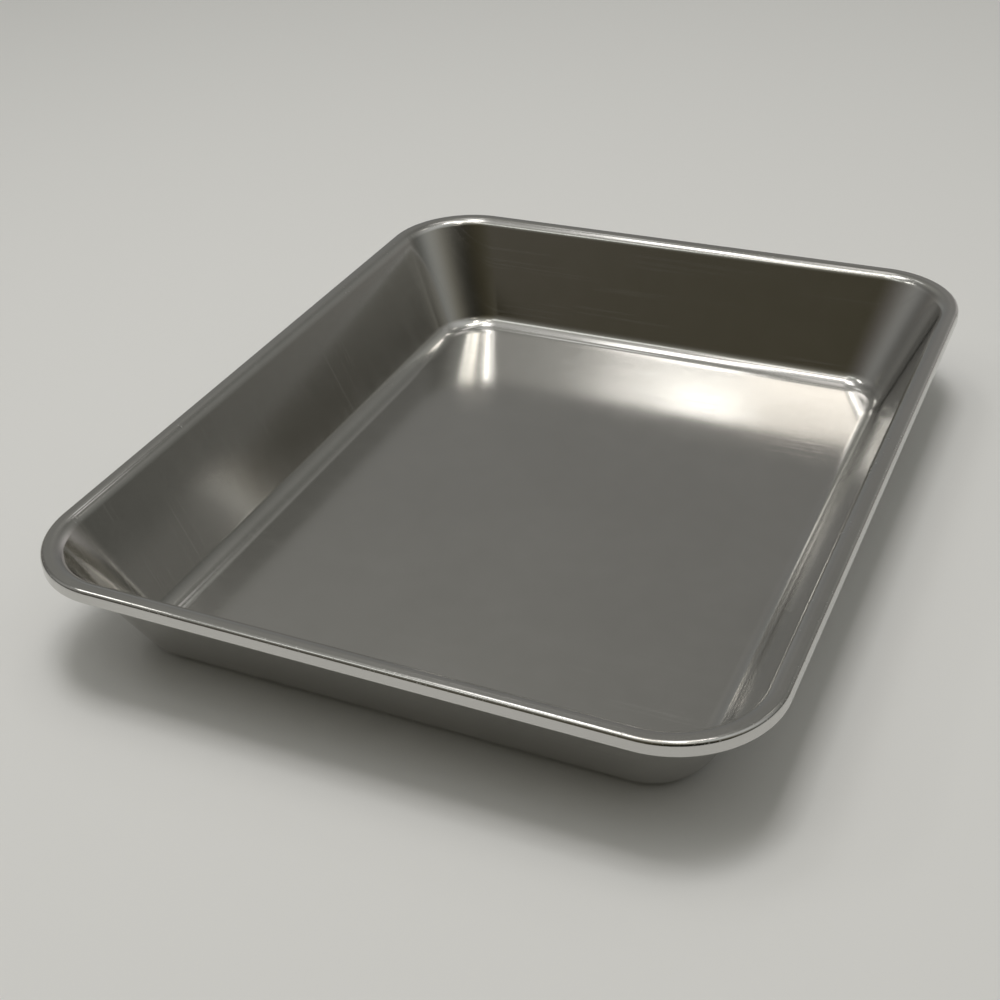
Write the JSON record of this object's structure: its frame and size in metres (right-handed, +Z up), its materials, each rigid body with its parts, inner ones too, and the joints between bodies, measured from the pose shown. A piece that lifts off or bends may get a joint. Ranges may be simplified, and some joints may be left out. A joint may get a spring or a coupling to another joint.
{
  "type": "developing tray",
  "caption": "Shallow rectangular stainless-steel tray drawn from one sheet, with sloping walls, rounded corners, and a flat rim whose edge is turned down.",
  "frame": {"origin": "middle of the underside of the floor, on the surface the tray rests on", "axes": "+Z up through the open top, +Y along the long side, +X along the short side"},
  "size_m": [0.3, 0.369, 0.053],
  "materials": {
    "stainless": "satin"
  },
  "bodies": {
    "root": {"tray_pan": "stainless"}
  },
  "joints": []
}
